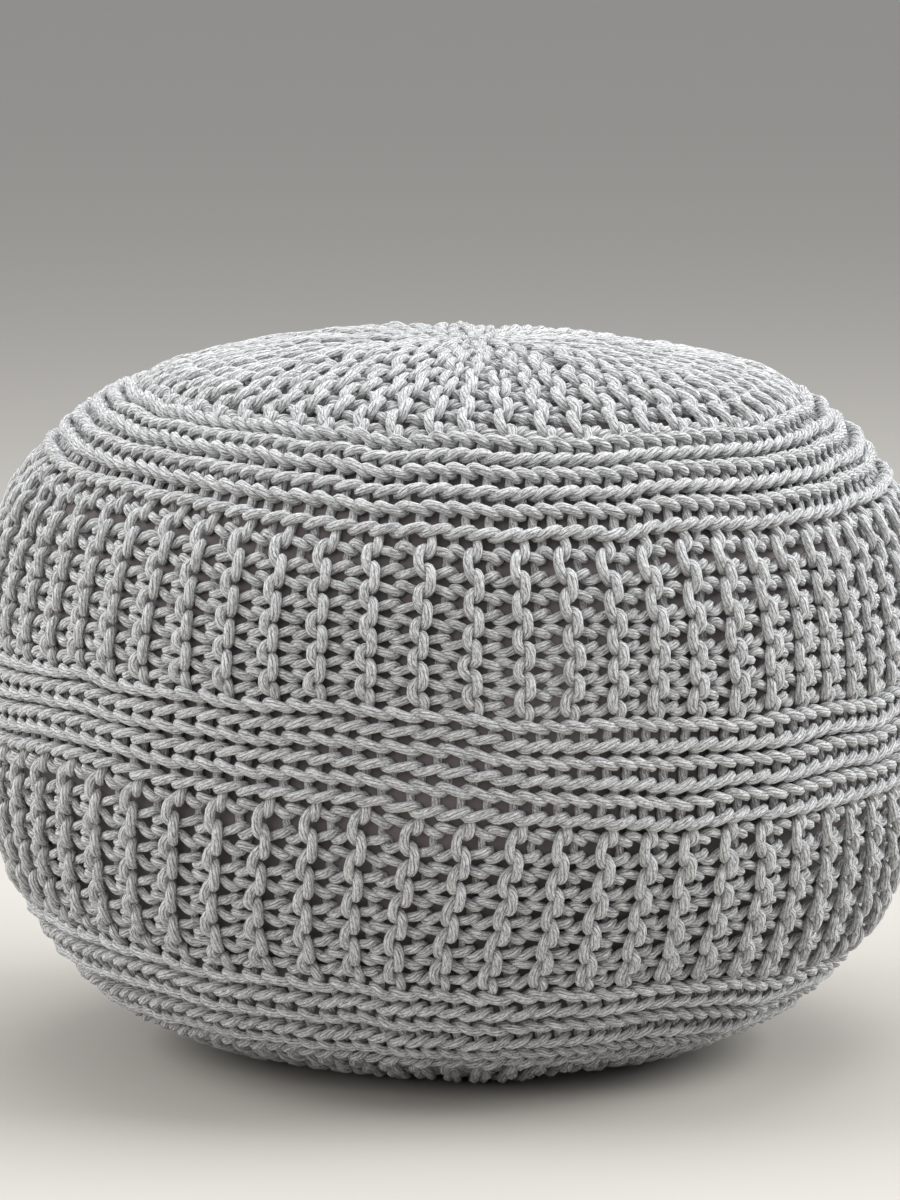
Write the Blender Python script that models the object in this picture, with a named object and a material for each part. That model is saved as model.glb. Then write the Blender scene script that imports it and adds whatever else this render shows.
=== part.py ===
"""Knitted pouf: a squat, round floor seat.

Two pieces make it up. The knitted cover is a closed tube of knitting, gathered
to a small eye at the crown and at the base. The filled liner is the bag inside
it, seen between the stitches. Metres, +Z up, origin at the centre of the base,
on the surface that the pouf stands on.
"""

import collections
import math

import bmesh
import bpy

# ---------------------------------------------------------------- sizes
DIAMETER = 0.500           # widest, over the yarn
HEIGHT = 0.370             # crown to floor
COVER_THICKNESS = 0.0090   # two yarns crossing
LINER_GAP = 0.0005         # between cover and liner
EYE_RADIUS = 0.0070        # gathered eye at the crown and at the base
CONTACT_RADIUS = 0.104     # flat spot that the pouf rests on
SIDES = 60                 # facets round the pouf
BAND_SWELL = 0.0030        # how far a knitted band swells between its edges

# ---------------------------------------------------------------- tables
# Outline of the cover, from crown to base: radius as a share of half the
# diameter, height as a share of the full height.
Section = collections.namedtuple("Section", "name radius height")
OUTLINE = (
    Section("crown", 0.000, 1.000),
    Section("crown dome", 0.184, 0.997),
    Section("dome", 0.364, 0.986),
    Section("dome edge", 0.544, 0.963),
    Section("cap edge", 0.700, 0.927),
    Section("shoulder", 0.800, 0.887),
    Section("upper side", 0.882, 0.831),
    Section("upper belly", 0.956, 0.741),
    Section("belly top", 0.995, 0.624),
    Section("belly", 1.000, 0.530),
    Section("belly base", 0.988, 0.414),
    Section("lower side", 0.936, 0.276),
    Section("lower curve", 0.846, 0.160),
    Section("under curve", 0.710, 0.070),
    Section("heel", 0.555, 0.018),
)

# Knitted bands, from crown to base: share of the outline's length where each
# starts and ends, how proud it stands, and how many sections shape it.
Band = collections.namedtuple("Band", "name start end proud sections")
BANDS = (
    Band("top cap, ridged", 0.000, 0.277, 0.6, 8),
    Band("plain band 1", 0.277, 0.387, 1.0, 5),
    Band("ridged band 1", 0.387, 0.531, 1.0, 6),
    Band("plain band 2", 0.531, 0.616, 1.0, 5),
    Band("ridged band 2", 0.616, 0.764, 1.0, 6),
    Band("plain band 3", 0.764, 0.857, 1.0, 5),
    Band("base cap, ridged", 0.857, 1.000, 0.6, 4),
)

# Colour, roughness and metallic value of each piece.
Finish = collections.namedtuple("Finish", "slot colour roughness metallic")
YARN_FINISH = Finish("cotton_yarn", (0.47, 0.47, 0.48), 0.90, 0.0)
LINER_FINISH = Finish("liner_cloth", (0.13, 0.11, 0.11), 0.85, 0.0)


# ---------------------------------------------------------------- outline
def catmull_rom(points, per_span):
    """A smooth curve through the points, per_span steps between each pair."""
    padded = [points[0]] + list(points) + [points[-1]]
    curve = []
    for i in range(1, len(padded) - 2):
        before, start, end, after = padded[i - 1 : i + 3]
        for step in range(per_span):
            t = step / per_span
            curve.append(
                tuple(
                    0.5
                    * (
                        2 * b
                        + (c - a) * t
                        + (2 * a - 5 * b + 4 * c - d) * t**2
                        + (3 * b - a - 3 * c + d) * t**3
                    )
                    for a, b, c, d in zip(before, start, end, after)
                )
            )
    curve.append(points[-1])
    return curve


def arc_lengths(curve):
    lengths = [0.0]
    for (r0, z0), (r1, z1) in zip(curve, curve[1:]):
        lengths.append(lengths[-1] + math.hypot(r1 - r0, z1 - z0))
    return lengths


def sampled(curve, shares):
    """The curve's points at these shares of its length."""
    lengths = arc_lengths(curve)
    points, i = [], 0
    for share in shares:
        target = lengths[-1] * share
        while i < len(lengths) - 2 and lengths[i + 1] < target:
            i += 1
        span = lengths[i + 1] - lengths[i]
        t = (target - lengths[i]) / span if span else 0.0
        (r0, z0), (r1, z1) = curve[i], curve[i + 1]
        points.append((r0 + (r1 - r0) * t, z0 + (z1 - z0) * t))
    return points


def offset(points, distances):
    """The points moved inwards, square to the curve; the ends stay on their height lines."""
    moved = []
    for i, (r, z) in enumerate(points):
        r0, z0 = points[max(i - 1, 0)]
        r1, z1 = points[min(i + 1, len(points) - 1)]
        length = math.hypot(r1 - r0, z1 - z0)
        nr, nz = (z1 - z0) / length, -(r1 - r0) / length
        moved.append((r + nr * distances[i], z + nz * distances[i]))
    return moved


def side_curve():
    """The outline from the crown down to the heel, as a smooth curve."""
    return catmull_rom(
        [(s.radius * DIAMETER / 2, s.height * HEIGHT) for s in OUTLINE]
        + [(CONTACT_RADIUS, 0.0)],
        8,
    )


def band_sections():
    """(share, how deep below the crest) of each section of the cover's outside."""
    rows = []
    for band in BANDS:
        for step in range(band.sections):
            across = step / band.sections
            crest = math.sin(math.pi * across) ** 0.6
            rows.append(
                (
                    band.start + (band.end - band.start) * across,
                    BAND_SWELL * (1.0 - band.proud * crest),
                )
            )
    return rows


def cover_outline():
    """Outside of the cover, eye to eye, with its bands; flat where it rests."""
    rows = band_sections()
    points = offset(
        sampled(side_curve(), [share for share, _ in rows]),
        [depth for _, depth in rows],
    )
    points[0] = (EYE_RADIUS, HEIGHT - BAND_SWELL)
    widest = max(r for r, _ in points)
    tallest = max(z for _, z in points)
    points = [(r * DIAMETER / 2 / widest, z * HEIGHT / tallest) for r, z in points]
    return points + [
        (CONTACT_RADIUS, 0.0),
        (0.55 * CONTACT_RADIUS, 0.0),
        (EYE_RADIUS, 0.0),
    ]


def inner_outline(depth, count, end_radius):
    """A smooth outline this far inside the cover's outside, ending at end_radius."""
    points = sampled(side_curve(), [i / (count - 1) for i in range(count)])
    inside = offset(points, [depth] * count)
    inside = [(max(r, end_radius), max(z, depth)) for r, z in inside]
    inside[0] = (end_radius, HEIGHT - depth)
    inside[-1] = (CONTACT_RADIUS, depth)
    return inside + [(0.55 * CONTACT_RADIUS, depth), (end_radius, depth)]


# ---------------------------------------------------------------- solids
def clear_scene():
    for obj in list(bpy.data.objects):
        bpy.data.objects.remove(obj, do_unlink=True)


def material(finish):
    made = bpy.data.materials.new(finish.slot)
    made.use_nodes = True
    shader = made.node_tree.nodes["Principled BSDF"]
    shader.inputs["Base Color"].default_value = (*finish.colour, 1.0)
    shader.inputs["Roughness"].default_value = finish.roughness
    shader.inputs["Metallic"].default_value = finish.metallic
    made.diffuse_color = (*finish.colour, 1.0)
    return made


def turned(name, outline, closed, finish):
    """A solid turned about Z. A closed outline stays off the axis; an open one ends on it."""
    mesh = bpy.data.meshes.new(name)
    bm = bmesh.new()
    corners = [bm.verts.new((r, 0.0, z)) for r, z in outline]
    pairs = list(zip(corners, corners[1:])) + ([(corners[-1], corners[0])] if closed else [])
    edges = [bm.edges.new(pair) for pair in pairs]
    bmesh.ops.spin(
        bm,
        geom=corners + edges,
        cent=(0.0, 0.0, 0.0),
        axis=(0.0, 0.0, 1.0),
        angle=2 * math.pi,
        steps=SIDES,
        use_merge=True,
    )
    bmesh.ops.remove_doubles(bm, verts=bm.verts, dist=1e-6)
    bmesh.ops.recalc_face_normals(bm, faces=bm.faces)
    bm.to_mesh(mesh)
    bm.free()
    mesh.shade_smooth()
    mesh.set_sharp_from_angle(angle=math.radians(50))
    mesh.materials.append(material(finish))
    obj = bpy.data.objects.new(name, mesh)
    bpy.context.scene.collection.objects.link(obj)
    return obj


def main():
    clear_scene()
    outside = cover_outline()
    inside = inner_outline(COVER_THICKNESS, 18, EYE_RADIUS)
    turned("knitted_cover", outside + inside[::-1], True, YARN_FINISH)
    bag = inner_outline(COVER_THICKNESS + LINER_GAP, 18, 0.0)
    turned("filled_liner", bag, False, LINER_FINISH)


main()
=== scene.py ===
"""Looks of the knitted pouf: the cover as real yarn, the filled liner behind it, and a plain studio.

The cover is knitted sideways: its courses run from the crown to the base, and its wales ring the pouf.
Every stitch is a length of one yarn. A plan places each loop on the pouf's outline, and a few rounds of
pushing the yarn out of itself settle it, as real yarn settles against its neighbours.
"""

import collections
import math

import bpy
import numpy as np
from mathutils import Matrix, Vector


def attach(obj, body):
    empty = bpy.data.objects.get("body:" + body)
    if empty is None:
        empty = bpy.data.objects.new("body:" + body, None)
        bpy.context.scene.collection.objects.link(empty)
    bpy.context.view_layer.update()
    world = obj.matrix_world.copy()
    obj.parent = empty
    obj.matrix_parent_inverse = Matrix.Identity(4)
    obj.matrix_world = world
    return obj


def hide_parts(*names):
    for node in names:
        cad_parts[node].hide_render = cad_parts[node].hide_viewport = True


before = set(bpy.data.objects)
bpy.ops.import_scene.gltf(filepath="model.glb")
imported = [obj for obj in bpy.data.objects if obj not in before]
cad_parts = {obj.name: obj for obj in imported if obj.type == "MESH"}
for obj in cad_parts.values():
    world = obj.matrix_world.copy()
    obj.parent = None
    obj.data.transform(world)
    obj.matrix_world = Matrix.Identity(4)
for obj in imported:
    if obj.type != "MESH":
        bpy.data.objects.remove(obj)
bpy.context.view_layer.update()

# ---------------------------------------------------------------- sizes, in metres
DIAMETER = 0.500
HEIGHT = 0.370
CONTACT_RADIUS = 0.104     # flat spot that the pouf rests on
YARN = 0.0056              # yarn diameter
DEPTH = 0.0074             # from the outline in to the middle of the knit
LINER_DEPTH = 0.0112       # from the outline in to the liner
LIFT = 0.44 * YARN         # how far a crossing yarn rises or sinks
RIDGE = 0.24 * YARN        # how far a ridge stands proud of the knit's middle
PLAIN_OVER = 0.0044        # how much longer a plain loop is than its course
RIDGED_OVER = 0.0046       # the same in the ridged knit
TWIST = 13.0               # turns of the yarn's plies in a metre
RIDGES = 60                # ridges round the pouf: two courses each
STEPS = 20                 # points of the plan in one stitch
FACETS = (-112, -56, 0, 56, 112, 180)    # corners round the yarn's mesh, in degrees from the side that faces out
YARN_TRIANGLES = 955_000   # in the whole cover
COVER_PIECES = 6
EYE_RADIUS = 0.0085        # drawn-up eye at the crown and at the base

# ---------------------------------------------------------------- tables
# The outline, from crown to base: radius as a share of half the diameter, height as a share of the height.
Section = collections.namedtuple("Section", "name radius height")
OUTLINE = (
    Section("crown", 0.000, 1.000),
    Section("crown dome", 0.184, 0.997),
    Section("dome", 0.364, 0.986),
    Section("dome edge", 0.544, 0.963),
    Section("cap edge", 0.700, 0.927),
    Section("shoulder", 0.800, 0.887),
    Section("upper side", 0.882, 0.831),
    Section("upper belly", 0.956, 0.741),
    Section("belly top", 0.995, 0.624),
    Section("belly", 1.000, 0.530),
    Section("belly base", 0.988, 0.414),
    Section("lower side", 0.936, 0.276),
    Section("lower curve", 0.846, 0.160),
    Section("under curve", 0.710, 0.070),
    Section("heel", 0.555, 0.018),
)

# Wales from the crown to the base: how each band is knitted, and the middle of each wale in millimetres
# along the outline from the crown, at the front.
Band = collections.namedtuple("Band", "name ridged wales")
BANDS = (
    Band("top cap", True, (18.0, 39.0, 62.4, 87.7, 115.1, 143.5, 172.5)),
    Band("plain 1", False, (194.8, 217.5, 239.9)),
    Band("ridged 1", True, (263.4, 284.6, 300.7, 316.8, 332.4)),
    Band("plain 2", False, (347.9, 366.5, 384.4)),
    Band("ridged 2", True, (406.0, 425.5, 443.4, 462.4, 480.0)),
    Band("plain 3", False, (497.0, 524.7, 553.5)),
    Band("base cap", True, (576.0, 598.5, 620.5, 642.5, 664.5, 686.5, 708.0)),
)

# How the rings lean and sag: at each arc, how far down the outline they lie besides the front's place,
# in millimetres, as the weights of waves round the pouf.
Sag = collections.namedtuple("Sag", "arc side back twice_even twice_odd")
SAGS = (
    Sag(0, 0.0, 0.0, 0.0, 0.0),
    Sag(90, 0.0, 0.0, 0.0, 0.0),
    Sag(188, 6.4, -2.2, -4.2, -3.4),
    Sag(247, 11.6, -4.5, -3.8, 2.0),
    Sag(343, 4.1, -0.8, 0.2, -4.5),
    Sag(389, 0.3, -3.4, -1.3, -11.0),
    Sag(490, 16.4, 2.2, -1.2, 1.6),
    Sag(560, 9.0, 0.0, 0.0, 0.0),
    Sag(640, 0.0, 0.0, 0.0, 0.0),
    Sag(730, 0.0, 0.0, 0.0, 0.0),
)
# How far the knit stands out of its usual place, in millimetres, at each arc.
Swell = collections.namedtuple("Swell", "arc out")
SWELLS = (
    Swell(0, 2.0),
    Swell(40, 3.2),
    Swell(62, 4.2),
    Swell(88, 3.9),
    Swell(115, 3.6),
    Swell(143, 3.0),
    Swell(171, 2.4),
    Swell(196, 2.0),
    Swell(220, 1.6),
    Swell(242, 1.2),
    Swell(266, 0.2),
    Swell(345, 0.2),
    Swell(366, 0.8),
    Swell(388, 0.2),
    Swell(440, 1.2),
    Swell(490, 2.0),
    Swell(524, 1.6),
    Swell(560, 0.0),
    Swell(584, -2.6),
    Swell(612, 0.6),
    Swell(640, 0.0),
    Swell(740, 0.0),
)
POLE = (0.0105, -0.0040)   # where the knit's pole lies off the pouf's axis

# Where the ridges stand, in degrees round the pouf, for every third ridge along the front.
Fan = collections.namedtuple("Fan", "name angles")
FANS = (
    Fan("cap", (-14.5, -32.7, -51.0, -69.5, -88.5, -106.8, -125.0, -143.2)),
    Fan("upper", (-26.4, -41.1, -56.4, -72.1, -88.5, -106.5, -123.4, -140.4)),
    Fan("lower", (-18.8, -37.9, -55.8, -73.1, -91.0, -108.6, -126.9, -145.2)),
)
# How much of the cap's and of the lower fan the ridges take at each arc, in millimetres.
Lean = collections.namedtuple("Lean", "arc cap lower")
LEANS = (
    Lean(0, 1.0, 0.0),
    Lean(160, 1.0, 0.0),
    Lean(250, 0.0, 0.0),
    Lean(335, 0.0, 0.0),
    Lean(396, 0.0, 0.35),
    Lean(441, 0.0, 1.0),
    Lean(475, 0.0, 1.35),
    Lean(505, 0.0, 1.4),
    Lean(600, 0.0, 1.0),
    Lean(740, 0.0, 1.0),
)

# One loop, from the middle of its sinker to the middle of its head: share of the way round, place across
# the wale as a share of its width, and place along the knitting as a share of the loop.
Key = collections.namedtuple("Key", "name way across along")
PLAIN_LOOP = (
    Key("sinker", 0.000, -0.500, -0.500),
    Key("sinker side", 0.038, -0.385, -0.496),
    Key("shoulder", 0.081, -0.275, -0.470),
    Key("base", 0.134, -0.222, -0.380),
    Key("lower leg", 0.202, -0.246, -0.160),
    Key("leg", 0.274, -0.283, 0.100),
    Key("top", 0.336, -0.318, 0.300),
    Key("head end", 0.389, -0.268, 0.435),
    Key("head side", 0.445, -0.150, 0.495),
    Key("head", 0.500, 0.000, 0.500),
)
RIDGED_LOOP = (
    Key("sinker", 0.000, -0.500, -0.500),
    Key("sinker side", 0.037, -0.370, -0.505),
    Key("shoulder", 0.066, -0.240, -0.475),
    Key("base", 0.104, -0.180, -0.395),
    Key("lower leg", 0.181, -0.235, -0.230),
    Key("leg", 0.256, -0.295, 0.000),
    Key("upper leg", 0.325, -0.375, 0.215),
    Key("head end", 0.380, -0.330, 0.350),
    Key("head side", 0.434, -0.205, 0.455),
    Key("head", 0.500, 0.000, 0.500),
)

SIDES = len(FACETS)
FATTER = 1.01              # a mesh with few sides is drawn this much wider, so that it looks as thick as the yarn

WALES = sum(len(band.wales) for band in BANDS)
RIDGED = np.concatenate([[band.ridged] * len(band.wales) for band in BANDS])
# Ridges that end on the way to each pole: from this wale in, counted from the pole, only these go on.
SHORT_ROWS = ((4, lambda ridge: ridge % 3 != 2), (2, lambda ridge: ridge % 3 == 0), (1, lambda ridge: ridge % 6 == 0))


# ---------------------------------------------------------------- curves
def smoothstep(low, high, x):
    t = np.clip((x - low) / (high - low), 0.0, 1.0)
    return t * t * (3.0 - 2.0 * t)


def closed_spline(keys, values, at, slope=0.0):
    """A smooth curve through keys whose ends meet. values may rise by slope from end to end."""
    keys = np.asarray(keys, float)
    values = np.asarray(values, float) - slope * (keys - keys[0]) / (keys[-1] - keys[0])
    h = np.diff(keys)
    n = len(h)
    system = np.zeros((n, n))
    rises = np.diff(values, axis=-1) / h
    right = np.zeros(values.shape[:-1] + (n,))
    for i in range(n):
        system[i, i - 1] += 1 / h[i - 1]
        system[i, i] += 2 * (1 / h[i - 1] + 1 / h[i])
        system[i, (i + 1) % n] += 1 / h[i]
        right[..., i] = 3 * (rises[..., i - 1] / h[i - 1] + rises[..., i] / h[i])
    slopes = right @ np.linalg.inv(system).T
    slopes = np.concatenate([slopes, slopes[..., :1]], -1)
    span = keys[-1] - keys[0]
    at = np.asarray(at, float)
    turns = np.floor((at - keys[0]) / span)
    x = at - turns * span
    i = np.clip(np.searchsorted(keys, x, side="right") - 1, 0, n - 1)
    t = (x - keys[i]) / h[i]
    curve = (
        (2 * t**3 - 3 * t**2 + 1) * values[..., i]
        + (t**3 - 2 * t**2 + t) * h[i] * slopes[..., i]
        + (3 * t**2 - 2 * t**3) * values[..., i + 1]
        + (t**3 - t**2) * h[i] * slopes[..., i + 1]
    )
    return curve + slope * (at - keys[0]) / span


def smoothed_table(arcs, values, width=0.010):
    """The values, read between the arcs, on a grid of 1 mm, smoothed over about this width."""
    grid = np.arange(0, 760) * 0.001
    rough = np.interp(grid, arcs, values)
    reach = np.arange(-30, 31) * 0.001
    kernel = np.exp(-0.5 * (reach / width) ** 2)
    padded = np.pad(rough, 30, mode="edge")
    return grid, np.convolve(padded, kernel / kernel.sum(), mode="valid")


def outline_curve():
    """Radius and height every millimetre or so along the outline, from crown to the middle of the base."""
    points = [(s.radius * DIAMETER / 2, s.height * HEIGHT) for s in OUTLINE] + [(CONTACT_RADIUS, 0.0)]
    padded = np.array([points[0]] + points + [points[-1]])
    rows = []
    for b, s, e, a in zip(padded[:-3], padded[1:-2], padded[2:-1], padded[3:]):
        for t in np.arange(24) / 24:
            rows.append(0.5 * (2 * s + (e - b) * t + (2 * b - 5 * s + 4 * e - a) * t**2 + (3 * s - b - 3 * e + a) * t**3))
    rows += [np.array([CONTACT_RADIUS * (1 - k / 60), 0.0]) for k in range(61)]
    return np.array(rows)


CURVE = outline_curve()
ARCS = np.concatenate([[0], np.cumsum(np.hypot(*np.diff(CURVE, axis=0).T))])
ARC_END = ARCS[-1]
GRID, RADIUS_AT = smoothed_table(ARCS, CURVE[:, 0], 0.0035)
HEIGHT_AT = smoothed_table(ARCS, CURVE[:, 1], 0.0035)[1]
RADIUS_AT[:12] = np.interp(GRID[:12], [0, GRID[12]], [0, RADIUS_AT[12]])
_dr, _dz = np.gradient(RADIUS_AT, GRID), np.gradient(HEIGHT_AT, GRID)
_dr, _dz = (smoothed_table(GRID, d, 0.006)[1] for d in (_dr, _dz))
_length = np.maximum(np.hypot(_dr, _dz), 1e-9)
OUT_R, OUT_Z = -_dz / _length, _dr / _length
CAP_LEAN = smoothed_table([l.arc * 0.001 for l in LEANS], [l.cap for l in LEANS])[1]
LOW_LEAN = smoothed_table([l.arc * 0.001 for l in LEANS], [l.lower for l in LEANS])[1]
SWELL_AT = smoothed_table([w.arc * 0.001 for w in SWELLS], [w.out * 0.001 for w in SWELLS], 0.008)[1]
SAG_AT = [
    smoothed_table([s.arc * 0.001 for s in SAGS], [s[k] * 0.001 for s in SAGS], 0.014)[1] for k in (1, 2, 3, 4)
]


def on_grid(table, arc):
    return np.interp(arc, GRID, table)


def surface(arc, angle, rise):
    """The point this far along the outline, at this angle in radians, and this far out of the knit's middle;
    and the outward direction there."""
    side, back, even, odd = (on_grid(t, arc) for t in SAG_AT)
    arc = arc + side * np.cos(angle) + back * (1 + np.sin(angle)) + even * (np.cos(2 * angle) + 1) + odd * np.sin(2 * angle)
    near = 1.0 - smoothstep(0.05, 0.17, arc)
    x = arc * np.cos(angle) + POLE[0] * near
    y = arc * np.sin(angle) + POLE[1] * near
    arc, angle = np.hypot(x, y), np.arctan2(y, x)
    out_r, out_z = on_grid(OUT_R, arc), on_grid(OUT_Z, arc)
    rise = rise + on_grid(SWELL_AT, arc)
    radius = on_grid(RADIUS_AT, arc) + (rise - DEPTH) * out_r
    height = on_grid(HEIGHT_AT, arc) + (rise - DEPTH) * out_z
    point = np.stack([radius * np.cos(angle), radius * np.sin(angle), height], -1)
    normal = np.stack([out_r * np.cos(angle), out_r * np.sin(angle), out_z], -1)
    return point, normal


# ---------------------------------------------------------------- the plan of the knitting
def wale_edges():
    """The arc where each wale starts, and the end of the last."""
    middles = np.concatenate([band.wales for band in BANDS]) * 0.001
    between = (middles[1:] + middles[:-1]) / 2
    return np.concatenate([[EYE_RADIUS], between, [ARC_END - EYE_RADIUS]])


EDGES = wale_edges()


def arc_of(across):
    """The arc of a place counted in wales from the crown."""
    n = np.arange(len(EDGES))
    before = EDGES[0] - (EDGES[1] - EDGES[0])
    after = EDGES[-1] + (EDGES[-1] - EDGES[-2])
    points = np.concatenate([[before], EDGES, [after]])
    i = np.clip(np.floor(across).astype(int), 0, len(EDGES) - 2)
    t = across - i
    b, s, e, a = points[i], points[i + 1], points[i + 2], points[i + 3]
    return 0.5 * (2 * s + (e - b) * t + (2 * b - 5 * s + 4 * e - a) * t**2 + (3 * s - b - 3 * e + a) * t**3)


def fan_angle(fan, ridge):
    """The angle of a ridge, in degrees, in one fan; ridge may be any number."""
    keys = [0, 3, 6, 9, 12, 15, 18, 21]
    gap = (fan.angles[0] - 360 - fan.angles[-1]) / (RIDGES - 21)
    keys += [30, 40, 51, RIDGES]
    values = list(fan.angles) + [fan.angles[-1] + gap * (k - 21) for k in (30, 40, 51)] + [fan.angles[0] - 360]
    return closed_spline(keys, values, ridge, slope=-360.0)


def full_angle(course, arc):
    """The angle, in radians, of a place counted in courses, where every ridge is present."""
    ridge = (course - 0.5) / 2
    cap, upper, lower = (fan_angle(fan, ridge) for fan in FANS)
    c, l = on_grid(CAP_LEAN, arc), on_grid(LOW_LEAN, arc)
    return np.radians(upper + c * (cap - upper) + l * (lower - upper))


def rows_on(ridge, wale):
    """True if this ridge is still knitted in this wale."""
    inward = min(wale, WALES - 1 - wale)
    return all(inward >= limit or keep(ridge) for limit, keep in SHORT_ROWS)


def zone_angle(zone, ridge, course, arc):
    """The angle of a place near a ridge, where only some ridges are left, spaced evenly."""
    keep = SHORT_ROWS[zone - 1][1]
    left = [k for k in range(RIDGES) if keep(k)]
    pitch = RIDGES / len(left)
    if zone == 1:
        even = (ridge // 3) * 3 + (0.5 + (ridge % 3 - 0.5) * pitch if ridge % 3 < 2 else 2.0)
    else:
        even = float(ridge)
    place = even + (course - (2 * ridge + 0.5)) / 2 * pitch
    return full_angle(2 * place + 0.5, arc)


def angle_of(ridge, course, across, arc):
    """The angle of each place of one ridge, blending from zone to zone on the way to the pole."""
    inward = np.minimum(across, WALES - across)
    angle = full_angle(course, arc)
    for zone, (limit, _) in enumerate(SHORT_ROWS, 1):
        share = 1.0 - smoothstep(limit - 0.75, limit + 0.25, inward)
        if share.max() <= 0:
            break
        angle = angle + share * (zone_angle(zone, ridge, course, arc) - angle)
    return angle


def loop_plan(keys):
    """The whole loop's keys: the second half mirrors the first."""
    way = [k.way for k in keys] + [1 - k.way for k in keys[-2::-1]]
    across = [k.across for k in keys] + [-k.across for k in keys[-2::-1]]
    along = [k.along for k in keys] + [k.along for k in keys[-2::-1]]
    return way, across, along


def rises(this, after, left, right):
    """How far out each key of a loop stands, in lifts: this, after, left and right are +1 for a knit stitch
    and -1 for a purl one, for the loop, the one above it and those beside it."""
    start, finish = -0.5 * (this + left), -0.5 * (this + right)
    plain = this == after
    middle = 0.5 * (this + after) * 1.1
    top, end = (0.8 * after, -0.2 * after) if plain else (after, 0.1 * after)
    up = [-0.9 * this, 0.15 * this, this, middle, top, end, -0.9 * after]
    down = [-0.9 * after, end, top, middle, this, 0.15 * this, -0.9 * this]
    return np.array([start, 0.5 * (start - this)] + up + [-after] + down + [0.5 * (finish - this), finish], float)


WAY = np.arange(STEPS) / STEPS
PLANS = {}
for _kind, _keys in ((False, PLAIN_LOOP), (True, RIDGED_LOOP)):
    _way, _across, _along = loop_plan(_keys)
    PLANS[_kind] = (_way, closed_spline(_way, _across, WAY, slope=1.0), closed_spline(_way, _along, WAY))


def unevenness(rng):
    """Smooth random fields over courses and wales: shifts along, across and out of the knit."""
    fields = []
    for spread, size in ((1, 0.0009), (1, 0.0010), (1, 0.0006), (4, 0.0012), (4, 0.0014), (4, 0.0007)):
        field = rng.normal(size=(2 * RIDGES, WALES + 1))
        for _ in range(spread * spread):
            field = 0.5 * field + 0.25 * (np.roll(field, 1, 0) + np.roll(field, -1, 0))
            edge = np.pad(field, ((0, 0), (1, 1)), mode="edge")
            field = 0.5 * field + 0.25 * (edge[:, :-2] + edge[:, 2:])
        fields.append(field / field.std() * size)
    return fields[0] + fields[3], fields[1] + fields[4], fields[2] + fields[5]


def read_field(field, course, across):
    n = 2 * RIDGES
    i, j = np.floor(course).astype(int), np.clip(np.floor(across).astype(int), 0, WALES - 1)
    s, t = course - i, np.clip(across - j, 0, 1)
    s, t = s * s * (3 - 2 * s), t * t * (3 - 2 * t)
    a, b = field[i % n, j], field[(i + 1) % n, j]
    c, d = field[i % n, j + 1], field[(i + 1) % n, j + 1]
    return a * (1 - s) * (1 - t) + b * s * (1 - t) + c * (1 - s) * t + d * s * t


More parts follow.
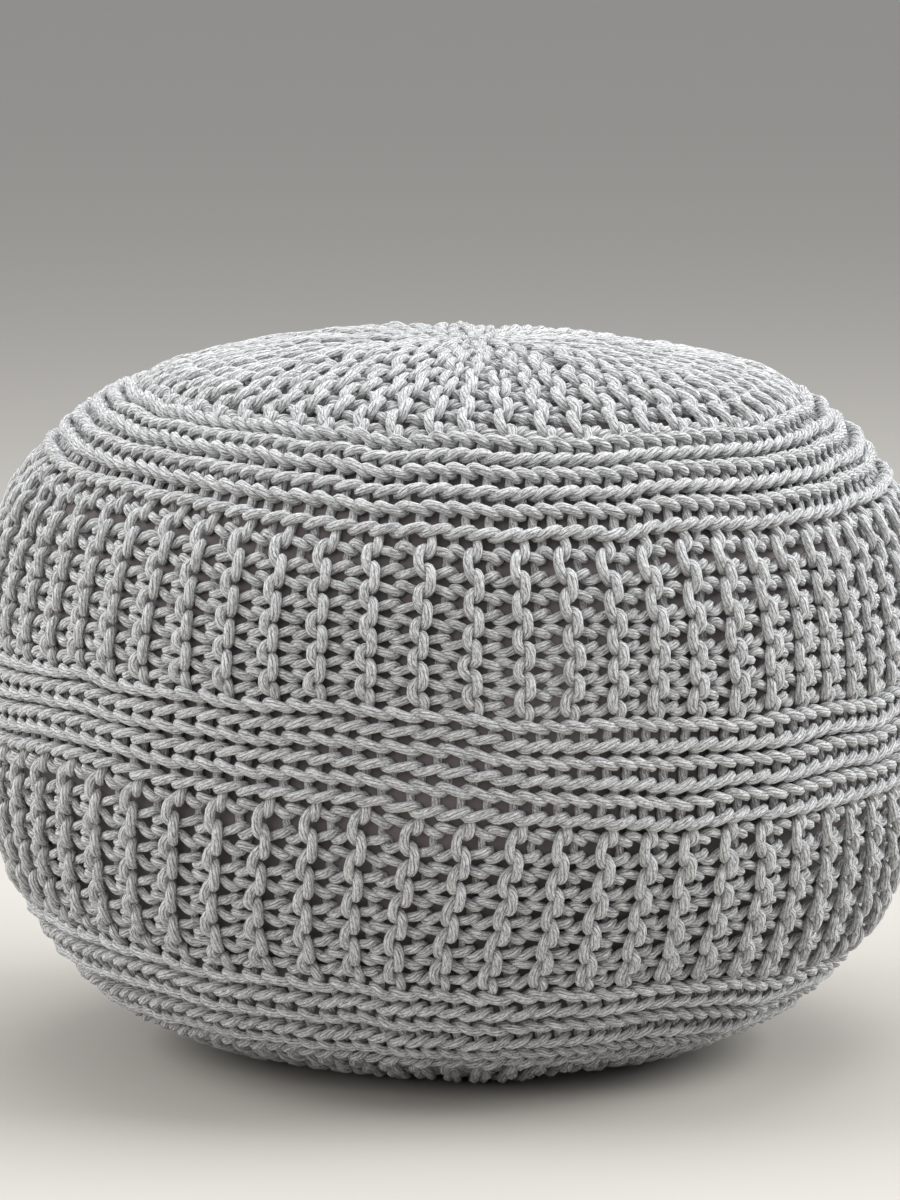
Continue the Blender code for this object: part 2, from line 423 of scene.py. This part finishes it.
def ridge_path(ridge, fields, rng):
    """The yarn of one ridge: its knit course from crown to base, a turn, and its purl course back, as a closed path.
    Gives points, outward directions, yarn widths, heights over the knit's middle, and how far handwork shifts each."""
    wales = [w for w in range(WALES) if rows_on(ridge, w)]
    sides = []
    for purl in (0, 1):
        course = 2 * ridge + purl
        kinds = {w: -1 if RIDGED[w] and purl else 1 for w in range(-1, WALES + 1) if 0 <= w < WALES}
        across, along, rise = [], [], []
        middle = (wales[0] + wales[-1] + 1) / 2
        for w in wales:
            kind = kinds[w]
            after = -kind if RIDGED[w] else 1
            keys = rises(kind, after, kinds.get(w - 1, kind), kinds.get(w + 1, kind))
            way_keys, plan_across, plan_along = PLANS[bool(RIDGED[w])]
            arc = float(arc_of(np.array(w + 0.5)))
            here = np.array([course - 0.5, course + 0.5])
            pitch = abs(np.diff(angle_of(ridge, here, np.full(2, w + 0.5), np.full(2, arc)))[0]) * on_grid(RADIUS_AT, arc)
            longer = min(RIDGED_OVER if RIDGED[w] else PLAIN_OVER, 0.92 * pitch)
            length = 1 + longer / pitch
            stretch = 1 + 0.05 * rng.normal() * np.sin(np.pi * WAY) ** 2
            across.append(w + 0.5 + plan_across)
            along.append(course + plan_along * length * stretch)
            rise.append(closed_spline(way_keys, keys, WAY, slope=keys[-1] - keys[0]) * LIFT)
        across, along, rise = (np.concatenate(x) for x in (across, along, rise))
        ridged = np.interp(across, np.arange(WALES) + 0.5, RIDGED.astype(float))
        ridged = smoothstep(0.0, 1.0, ridged)
        rise = rise + RIDGE * ridged * np.cos(math.pi * (along - (2 * ridge + 0.5)))
        sides.append((across, along, rise))
    (a0, b0, c0), (a1, b1, c1) = sides

    def turn(start, end, outward):
        t = np.array([0.2, 0.5, 0.8])
        across, along, rise = (s + (e - s) * t for s, e in zip(start, end))
        return across + outward * 0.16 * np.sin(np.pi * t), along, rise

    # Each course gets its last sinker point, so that the turns start square to it.
    def tail(values, step):
        return np.concatenate([values, [values[-1] + step]])

    a0, b0, c0 = tail(a0, 0.07), tail(b0, -0.04), tail(c0, 0.0)
    a1, b1, c1 = tail(a1, 0.07), tail(b1, -0.04), tail(c1, 0.0)
    low = turn((a0[-1], b0[-1], c0[-1]), (a1[-1], b1[-1], c1[-1]), 1.0)
    high = turn((a1[0], b1[0], c1[0]), (a0[0], b0[0], c0[0]), -1.0)
    across = np.concatenate([a0, low[0], a1[::-1], high[0]])
    along = np.concatenate([b0, low[1], b1[::-1], high[1]])
    rise = np.concatenate([c0, low[2], c1[::-1], high[2]])

    arc = arc_of(across)
    angle = angle_of(ridge, along, across, arc)
    pitch = np.abs(angle_of(ridge, along + 0.5, across, arc) - angle_of(ridge, along - 0.5, across, arc)) * on_grid(RADIUS_AT, arc)
    width = YARN * np.clip(pitch / 0.0072, 0.74, 1.0)
    ridged = np.interp(across, np.arange(WALES) + 0.5, RIDGED.astype(float))
    width = width * (0.88 + ridged * (-0.05 + 0.10 * smoothstep(-0.2 * LIFT, LIFT + RIDGE, rise)))
    shift_along, shift_across, shift_out = (read_field(f, along, across) for f in fields)
    calm = smoothstep(0.4, 3.0, np.minimum(across, WALES - across))
    radius = np.maximum(on_grid(RADIUS_AT, arc), 0.02)
    out = rise * (0.35 + 0.65 * width / YARN)
    point, normal = surface(arc, angle, out)
    moved = surface(arc + calm * shift_across, angle + calm * shift_along / radius, out + calm * shift_out)[0]
    return point, normal, width, rise, moved - point


def eye_path(arc_from_pole, top, turns):
    """A drawstring of the same yarn round the eye."""
    n = 36 * turns
    t = np.arange(n) / n
    angle = -2 * math.pi * turns * t
    wobble = 0.0012 * np.sin(2 * math.pi * 5 * t + 1.0)
    distance = arc_from_pole + wobble + 0.0022 * np.sin(2 * math.pi * t)
    rise = 0.0030 * np.sin(2 * math.pi * 10 * t) + 0.001
    arc = distance if top else ARC_END - distance
    point, normal = surface(arc, angle, rise)
    return point, normal, np.full(n, YARN * 0.8), rise, np.zeros((n, 3))


# ---------------------------------------------------------------- settling the yarn
class Yarns:
    """Closed lengths of yarn, as flat arrays of points with their neighbours. They settle as an even knit,
    and the unevenness then bends the settled knit as a whole, so that no yarn changes its place over or under."""

    def __init__(self, paths):
        self.start = np.cumsum([0] + [len(p[0]) for p in paths])
        self.points = np.concatenate([p[0] for p in paths])
        self.normals = np.concatenate([p[1] for p in paths])
        self.widths = np.concatenate([p[2] for p in paths])
        self.rise = np.concatenate([p[3] for p in paths])
        self.uneven = np.concatenate([p[4] for p in paths])
        self.owner = np.repeat(np.arange(len(paths)), np.diff(self.start))
        index = np.arange(len(self.points))
        self.place = index - self.start[self.owner]
        self.size = np.diff(self.start)[self.owner]
        self.before = self.start[self.owner] + (self.place - 1) % self.size
        self.after = self.start[self.owner] + (self.place + 1) % self.size

    def directions(self, points):
        d = points[self.after] - points[self.before]
        return d / np.linalg.norm(d, axis=1)[:, None]

    def near(self, points, reach, gap=5):
        """Pairs of points within reach, leaving out those close along one yarn."""
        cell = np.floor((points - points.min(0)) / reach).astype(np.int64) + 1
        size = cell.max(0) + 2
        key = (cell[:, 0] * size[1] + cell[:, 1]) * size[2] + cell[:, 2]
        order = np.argsort(key, kind="stable")
        cells, first, count = np.unique(key[order], return_index=True, return_counts=True)
        found = []
        for dx in (0, 1):
            for dy in (-1, 0, 1):
                for dz in (-1, 0, 1):
                    step = (dx * size[1] + dy) * size[2] + dz
                    if step < 0:
                        continue
                    there = np.clip(np.searchsorted(cells, cells + step), 0, len(cells) - 1)
                    a = np.nonzero(cells[there] == cells + step)[0]
                    b = there[a]
                    many = count[a] * count[b]
                    which = np.repeat(np.arange(len(a)), many)
                    rank = np.arange(many.sum()) - np.repeat(np.cumsum(many) - many, many)
                    i = order[first[a][which] + rank // count[b][which]]
                    j = order[first[b][which] + rank % count[b][which]]
                    if step == 0:
                        i, j = i[i < j], j[i < j]
                    d = points[i] - points[j]
                    close = (d * d).sum(1) < reach * reach
                    i, j = i[close], j[close]
                    far = np.abs(self.place[i] - self.place[j])
                    far = np.minimum(far, self.size[i] - far)
                    apart = (self.owner[i] != self.owner[j]) | (far >= gap)
                    found.append((i[apart], j[apart]))
        return np.concatenate([f[0] for f in found]), np.concatenate([f[1] for f in found])

    def settle(self, rounds, firmness=0.90, softness=0.82):
        """Pushes the yarn out of itself. Where two lengths cross, the one that the plan puts outside stays outside."""
        plan = self.points.copy()
        points = plan.copy()
        for turn in range(rounds):
            if turn % 10 == 0:
                i, j = self.near(points, YARN * 1.35)
                out = self.normals[i] + self.normals[j]
                out /= np.linalg.norm(out, axis=1)[:, None]
                planned = ((plan[i] - plan[j]) * out).sum(1)
                sign = np.where(planned >= 0, 1.0, -1.0)
                way = self.directions(points)
                crossing = (np.abs((way[i] * way[j]).sum(1)) < 0.8) & (np.abs(planned) > 0.22 * YARN)
                keep_off = 0.5 * (self.widths[i] + self.widths[j]) * np.where(crossing, firmness, softness)
            d = points[i] - points[j]
            distance = np.sqrt((d * d).sum(1)) + 1e-9
            depth = (d * out).sum(1)
            aside = np.maximum(distance**2 - depth**2, 0)
            need = np.sqrt(np.maximum(keep_off**2 - aside, 0)) - sign * depth
            cross = crossing & (aside < (0.9 * keep_off) ** 2) & (need > 0)
            beside = ~crossing & (distance < keep_off)
            push = np.zeros_like(d)
            push[cross] = out[cross] * (0.5 * sign * need)[cross][:, None]
            push[beside] = d[beside] * (0.5 * (keep_off - distance) / distance)[beside][:, None]
            hit = cross | beside
            move = np.zeros_like(points)
            for k in range(3):
                move[:, k] = np.bincount(i[hit], push[hit, k], len(points)) - np.bincount(j[hit], push[hit, k], len(points))
            hits = np.bincount(i[hit], minlength=len(points)) + np.bincount(j[hit], minlength=len(points))
            move /= np.maximum(hits, 1)[:, None] ** 0.6
            shift = points + 0.8 * move - plan
            shift = 0.5 * shift + 0.25 * (shift[self.before] + shift[self.after])
            points = plan + 0.995 * shift
        self.points = points + self.uneven


# ---------------------------------------------------------------- meshes
def finer(values, steps=4):
    """A closed row of values with more in between, on a smooth curve."""
    b, s, e, a = np.roll(values, 1, 0), values, np.roll(values, -1, 0), np.roll(values, -2, 0)
    t = (np.arange(steps) / steps)[None, :, None]
    b, s, e, a = (v[:, None, :] for v in (b, s, e, a))
    fine = 0.5 * (2 * s + (e - b) * t + (2 * b - 5 * s + 4 * e - a) * t**2 + (3 * s - b - 3 * e + a) * t**3)
    return fine.reshape(-1, values.shape[1])


def prepared(points, normals, widths, rise):
    """The path in fine steps, with how much mesh each step deserves: more on bends, less where it is hidden."""
    fine = finer(np.concatenate([points, normals, widths[:, None], rise[:, None]], 1))
    step = np.roll(fine[:, :3], -1, 0) - fine[:, :3]
    length = np.maximum(np.linalg.norm(step, axis=1), 1e-7)
    way = step / length[:, None]
    bend = np.arccos(np.clip((way * np.roll(way, 1, 0)).sum(1), -1, 1))
    bend = (np.roll(bend, 2) + np.roll(bend, 1) + bend + np.roll(bend, -1) + np.roll(bend, -2)) / 5
    weight = length / 0.0036 + 0.5 * (bend + np.roll(bend, -1)) / 0.45
    low = smoothstep(0.004, 0.020, fine[:, 2])
    weight = weight * (0.5 + 0.5 * low) * (0.45 + 0.55 * smoothstep(-0.5, 0.1, fine[:, 7] / LIFT))
    return fine, length, weight


def tube_arrays(fine, length, weight, count):
    """Points, faces and texture places of a closed tube of yarn."""
    total = np.concatenate([[0], np.cumsum(weight)])
    closed = np.concatenate([fine, fine[:1]])
    run = np.concatenate([[0], np.cumsum(length)])
    marks = np.arange(count + 1) / count * total[-1]
    rows = np.stack([np.interp(marks, total, closed[:, k]) for k in range(7)], 1)
    along = np.interp(marks, total, run)
    centre, out, width = rows[:-1, :3], rows[:-1, 3:6], rows[:-1, 6]
    way = np.roll(centre, -1, 0) - np.roll(centre, 1, 0)
    way /= np.linalg.norm(way, axis=1)[:, None]
    out = out - way * (out * way).sum(1)[:, None]
    out /= np.maximum(np.linalg.norm(out, axis=1), 1e-6)[:, None]
    across = np.cross(way, out)
    turn = np.radians(FACETS)
    radius = 0.5 * FATTER * width[:, None, None]
    points = centre[:, None] + radius * (
        np.cos(turn)[None, :, None] * out[:, None] + np.sin(turn)[None, :, None] * across[:, None]
    )
    i = np.arange(count)[:, None]
    k = np.arange(SIDES)[None]
    j, l = (i + 1) % count, (k + 1) % SIDES
    faces = np.stack([i * SIDES + k, i * SIDES + l, j * SIDES + l, j * SIDES + k], -1).reshape(-1, 4)
    round_share = np.append(np.array(FACETS) / 360, 1 + FACETS[0] / 360)
    u0, u1 = (np.broadcast_to(r[None], (count, SIDES)) for r in (round_share[:-1], round_share[1:]))
    v0, v1 = (np.broadcast_to(v[:, None], (count, SIDES)) for v in (along[:-1], along[1:]))
    places = np.stack([np.stack([u0, v0], -1), np.stack([u1, v0], -1), np.stack([u1, v1], -1), np.stack([u0, v1], -1)], 2)
    return points.reshape(-1, 3), faces, places.reshape(-1, 2)


def mesh_object(name, points, faces, places, material):
    """An object from arrays of points and of faces with four corners each."""
    mesh = bpy.data.meshes.new(name)
    mesh.vertices.add(len(points))
    mesh.vertices.foreach_set("co", np.ascontiguousarray(points, np.float32).ravel())
    mesh.loops.add(faces.size)
    mesh.loops.foreach_set("vertex_index", np.ascontiguousarray(faces, np.int32).ravel())
    mesh.polygons.add(len(faces))
    mesh.polygons.foreach_set("loop_start", np.arange(len(faces), dtype=np.int32) * 4)
    mesh.update(calc_edges=True)
    mesh.shade_smooth()
    layer = mesh.uv_layers.new(name="yarn")
    layer.data.foreach_set("uv", np.ascontiguousarray(places, np.float32).ravel())
    mesh.validate()
    mesh.materials.append(material)
    obj = bpy.data.objects.new(name, mesh)
    bpy.context.scene.collection.objects.link(obj)
    return obj


# ---------------------------------------------------------------- materials
class Graph:
    """Short ways of adding shader nodes."""

    def __init__(self, name):
        self.material = bpy.data.materials.new(name)
        self.material.use_nodes = True
        self.tree = self.material.node_tree
        self.shader = self.tree.nodes["Principled BSDF"]

    def add(self, kind, inputs=(), **settings):
        node = self.tree.nodes.new(kind)
        for key, value in settings.items():
            setattr(node, key, value)
        for key, value in dict(inputs).items():
            self.put(node.inputs[key], value)
        return node

    def put(self, socket, value):
        if isinstance(value, bpy.types.NodeSocket):
            self.tree.links.new(value, socket)
        else:
            socket.default_value = value

    def math(self, operation, *values):
        node = self.add("ShaderNodeMath", operation=operation)
        for k, value in enumerate(values):
            self.put(node.inputs[k], value)
        return node.outputs[0]

    def ramp(self, value, stops):
        node = self.add("ShaderNodeValToRGB", {"Fac": value})
        ramp = node.color_ramp
        while len(ramp.elements) < len(stops):
            ramp.elements.new(1.0)
        for element, (at, shade) in zip(ramp.elements, stops):
            element.position = at
            element.color = shade if len(shade) == 4 else (*shade, 1.0)
        return node.outputs[0]

    def mix(self, a, b, share, blend="MIX"):
        node = self.add("ShaderNodeMix", data_type="RGBA", blend_type=blend)
        self.put(node.inputs["Factor"], share)
        self.put(node.inputs["A"], a)
        self.put(node.inputs["B"], b)
        return node.outputs["Result"]


def yarn_material():
    """Soft plied cotton, pale grey, flecked with darker fibres along its plies, with painted shade in the grooves
    between the plies.
    """
    g = Graph("cotton_yarn_knit")
    places = g.add("ShaderNodeUVMap", uv_map="yarn").outputs[0]
    split = g.add("ShaderNodeSeparateXYZ", {0: places})
    around, along = split.outputs[0], split.outputs[1]

    def ring(turns_per_metre, fine, run, seed):
        """A place that winds round the yarn: fine sets how many spots lie around it, run how many along it."""
        angle = g.math("MULTIPLY", g.math("MULTIPLY_ADD", along, turns_per_metre, around), 2 * math.pi)
        return g.add(
            "ShaderNodeCombineXYZ",
            {
                0: g.math("MULTIPLY", g.math("COSINE", angle), fine),
                1: g.math("MULTIPLY", g.math("SINE", angle), fine),
                2: g.math("MULTIPLY_ADD", along, run, seed),
            },
        ).outputs[0]

    def noise(place, detail, roughness=0.6):
        return g.add(
            "ShaderNodeTexNoise", {"Vector": place, "Scale": 1.0, "Detail": detail, "Roughness": roughness}
        ).outputs["Fac"]

    # The plies wander a little, so that no groove runs quite straight.
    wander = g.math("MULTIPLY_ADD", noise(ring(TWIST, 0.7, 60.0, 5.0), 1.0), 0.10, -0.05)
    turned = g.math("ADD", g.math("MULTIPLY_ADD", along, TWIST, around), wander)
    ply = g.math("FRACT", g.math("MULTIPLY", turned, 8.0))
    off = g.math("MULTIPLY", g.math("ABSOLUTE", g.math("SUBTRACT", ply, 0.5)), 2.0)
    round_ply = g.math("SQRT", g.math("SUBTRACT", 1.02, g.math("POWER", off, 2.4)))

    fleck = noise(ring(TWIST * 1.6, 3.2, 380.0, 3.0), 2.0)
    speck = noise(ring(TWIST * 1.6, 5.5, 700.0, 31.0), 1.0)
    hair = noise(ring(TWIST * 2.2, 4.6, 340.0, 11.0), 3.0, 0.7)
    slow = noise(ring(0.0, 0.4, 16.0, 23.0), 1.0)
    base = g.ramp(hair, [(0.37, (0.455, 0.455, 0.46)), (0.63, (0.83, 0.83, 0.82))])
    dark = g.ramp(fleck, [(0.36, (1.0, 1.0, 1.0)), (0.48, (0.0, 0.0, 0.0))])
    colour = g.mix(base, (0.15, 0.15, 0.145, 1.0), g.math("MULTIPLY", dark, 0.80))
    light = g.ramp(speck, [(0.55, (0.0, 0.0, 0.0)), (0.63, (1.0, 1.0, 1.0))])
    colour = g.mix(colour, (0.90, 0.90, 0.89, 1.0), g.math("MULTIPLY", light, 0.34))
    pit = g.ramp(speck, [(0.36, (1.0, 1.0, 1.0)), (0.43, (0.0, 0.0, 0.0))])
    colour = g.mix(colour, (0.12, 0.12, 0.115, 1.0), g.math("MULTIPLY", pit, 0.70))
    # Painted shade: the colour is darkened in each groove between the plies, but not evenly along its length.
    break_up = g.math("MULTIPLY_ADD", noise(ring(TWIST, 2.6, 150.0, 47.0), 1.0), 3.6, -1.2)
    painted_groove_shade = g.ramp(off, [(0.60, (0.0, 0.0, 0.0)), (0.92, (1.0, 1.0, 1.0))])
    depth = g.math("MULTIPLY", painted_groove_shade, g.math("MINIMUM", g.math("MAXIMUM", break_up, 0.1), 1.0))
    colour = g.mix(colour, (0.11, 0.108, 0.105, 1.0), g.math("MULTIPLY", depth, 0.85))
    tone = g.ramp(slow, [(0.3, (0.80, 0.80, 0.797)), (0.7, (0.895, 0.895, 0.898))])
    colour = g.mix(colour, tone, 1.0, "MULTIPLY")
    g.put(g.shader.inputs["Base Color"], colour)
    rough = g.ramp(hair, [(0.2, (0.84, 0.84, 0.84)), (0.8, (0.97, 0.97, 0.97))])
    g.put(g.shader.inputs["Roughness"], rough)
    g.put(g.shader.inputs["Specular IOR Level"], 0.18)
    g.put(g.shader.inputs["Sheen Weight"], 0.35)
    g.put(g.shader.inputs["Sheen Roughness"], 0.55)
    fluff = g.math("ADD", g.math("MULTIPLY", hair, 0.55), g.math("MULTIPLY", speck, 0.25))
    height = g.math("ADD", g.math("MULTIPLY", round_ply, 0.50), fluff)
    bump = g.add("ShaderNodeBump", {"Height": height, "Strength": 1.0, "Distance": 0.0011}).outputs[0]
    g.put(g.shader.inputs["Normal"], bump)
    return g.material


def liner_material():
    """Plain dark woven cloth, grey with a little mauve."""
    g = Graph("liner_cloth_woven")
    place = g.add("ShaderNodeTexCoord").outputs["Object"]
    weave = g.add("ShaderNodeTexNoise", {"Vector": place, "Scale": 900.0, "Detail": 1.0, "Roughness": 0.5}).outputs["Fac"]
    cloud = g.add("ShaderNodeTexNoise", {"Vector": place, "Scale": 14.0, "Detail": 2.0, "Roughness": 0.5}).outputs["Fac"]
    colour = g.ramp(cloud, [(0.3, (0.122, 0.106, 0.107)), (0.7, (0.156, 0.135, 0.136))])
    g.put(g.shader.inputs["Base Color"], colour)
    g.put(g.shader.inputs["Roughness"], 0.85)
    g.put(g.shader.inputs["Specular IOR Level"], 0.2)
    bump = g.add("ShaderNodeBump", {"Height": weave, "Strength": 0.3, "Distance": 0.0003}).outputs[0]
    g.put(g.shader.inputs["Normal"], bump)
    return g.material


def floor_material():
    g = Graph("studio_floor")
    g.put(g.shader.inputs["Base Color"], (0.40, 0.38, 0.345, 1.0))
    g.put(g.shader.inputs["Roughness"], 0.9)
    g.put(g.shader.inputs["Specular IOR Level"], 0.1)
    return g.material


# ---------------------------------------------------------------- the cover
rng = np.random.default_rng(20)
fields = unevenness(rng)
paths = [ridge_path(ridge, fields, rng) for ridge in range(RIDGES)]
paths.append(eye_path(0.0065, True, 1))
paths.append(eye_path(0.0065, False, 1))
yarns = Yarns(paths)
yarns.settle(40)
lowest = yarns.widths * 0.5 * FATTER
yarns.points[:, 2] = np.maximum(yarns.points[:, 2], lowest)

tubes = []
for a, b in zip(yarns.start[:-1], yarns.start[1:]):
    tubes.append(prepared(*(x[a:b] for x in (yarns.points, yarns.normals, yarns.widths, yarns.rise))))
share = YARN_TRIANGLES / (2 * SIDES) / sum(t[2].sum() for t in tubes)
yarn_look = yarn_material()
groups = [[] for _ in range(COVER_PIECES)]
for ridge in range(RIDGES):
    groups[ridge * COVER_PIECES // RIDGES].append(ridge)
groups[0].append(RIDGES)
groups[-1].append(RIDGES + 1)
for number, group in enumerate(groups, 1):
    made, faces, places, offset = [], [], [], 0
    for k in group:
        fine, length, weight = tubes[k]
        p, f, u = tube_arrays(fine, length, weight, int(share * weight.sum()))
        made.append(p)
        faces.append(f + offset)
        places.append(u)
        offset += len(p)
    piece = mesh_object(f"cover_yarn_{number}", np.concatenate(made), np.concatenate(faces), np.concatenate(places), yarn_look)
    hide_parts("knitted_cover")
    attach(piece, "root")


# ---------------------------------------------------------------- the liner
def liner_arrays(rows=64, around=120):
    """The filled bag: a smooth round form behind the knit, with a few shallow waves round it."""
    shares = np.linspace(0.0, 1.0, rows + 1)
    arc = shares * ARC_END
    depth = LINER_DEPTH - np.minimum(on_grid(SWELL_AT, arc), 0.0)
    radius = on_grid(RADIUS_AT, arc) - depth * on_grid(OUT_R, arc)
    height = on_grid(HEIGHT_AT, arc) - depth * on_grid(OUT_Z, arc)
    radius[0] = radius[-1] = 0.0
    radius = np.maximum(radius, 0.0)
    angle = 2 * math.pi * np.arange(around) / around
    swell = 0.0012 * np.sin(5 * angle[None] + 3.0 * shares[:, None] * 6) * np.sin(math.pi * shares[:, None])
    r = (radius[:, None] + swell * (radius[:, None] > 0.02))[1:-1]
    points = np.stack([r * np.cos(angle), r * np.sin(angle), np.broadcast_to(height[1:-1, None], r.shape)], -1).reshape(-1, 3)
    return points, height[0], height[-1], rows - 1, around


def liner_object():
    points, top, bottom, rings, around = liner_arrays()
    faces = []
    for i in range(rings - 1):
        for k in range(around):
            l = (k + 1) % around
            faces.append((i * around + k, (i + 1) * around + k, (i + 1) * around + l, i * around + l))
    n = len(points)
    points = np.concatenate([points, [[0, 0, top], [0, 0, bottom]]])
    last = (rings - 1) * around
    for k in range(around):
        l = (k + 1) % around
        faces.append((n, k, l))
        faces.append((n + 1, last + l, last + k))
    mesh = bpy.data.meshes.new("liner_bag")
    mesh.from_pydata(points.tolist(), [], faces)
    mesh.validate()
    mesh.shade_smooth()
    mesh.materials.append(liner_material())
    obj = bpy.data.objects.new("liner_bag", mesh)
    bpy.context.scene.collection.objects.link(obj)
    return obj


liner = liner_object()
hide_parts("filled_liner")
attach(liner, "root")

# ---------------------------------------------------------------- studio
floor_mesh = bpy.data.meshes.new("studio_floor")
floor_mesh.from_pydata([(-30, -30, 0), (30, -30, 0), (30, 30, 0), (-30, 30, 0)], [], [(0, 1, 2, 3)])
floor_mesh.materials.append(floor_material())
floor = bpy.data.objects.new("studio_floor", floor_mesh)
bpy.context.scene.collection.objects.link(floor)
floor.location.z = -0.0002

world = bpy.data.worlds.new("studio")
bpy.context.scene.world = world
world.use_nodes = True
world.node_tree.nodes["Background"].inputs["Color"].default_value = (0.93, 0.95, 1.0, 1.0)
world.node_tree.nodes["Background"].inputs["Strength"].default_value = 0.71


def soft_light(name, place, aim, size, power, colour=(1.0, 1.0, 1.0)):
    data = bpy.data.lights.new(name, "AREA")
    data.shape = "RECTANGLE"
    data.size, data.size_y = size
    data.energy = power
    data.color = colour
    obj = bpy.data.objects.new(name, data)
    obj.location = place
    obj.rotation_euler = (Vector(aim) - Vector(place)).to_track_quat("-Z", "Y").to_euler()
    bpy.context.scene.collection.objects.link(obj)


soft_light("window", (2.65, 0.0, 1.8), (0, 0, 0.22), (2.4, 1.8), 124.0, (0.97, 0.985, 1.0))
soft_light("side window", (-2.6, 0.2, 1.7), (0, 0, 0.2), (2.0, 1.6), 65.0, (0.97, 0.985, 1.0))
soft_light("overhead", (0.2, 0.5, 2.6), (0, 0, 0.3), (2.0, 2.0), 51.0, (0.96, 0.98, 1.0))
soft_light("fill", (-1.6, -3.0, 1.5), (0, 0, 0.2), (2.0, 1.6), 47.0, (1.0, 0.98, 0.94))

camera_data = bpy.data.cameras.new("camera")
camera_data.sensor_width = 36.0
camera_data.lens = 192.5
camera_data.clip_start, camera_data.clip_end = 0.1, 100.0
camera = bpy.data.objects.new("camera", camera_data)
camera.location = (-0.0036, -3.3, 0.692)
camera.rotation_euler = (math.radians(90 - 7.93), 0.0, 0.0)
bpy.context.scene.collection.objects.link(camera)
bpy.context.scene.camera = camera
bpy.context.scene.view_settings.view_transform = "Standard"
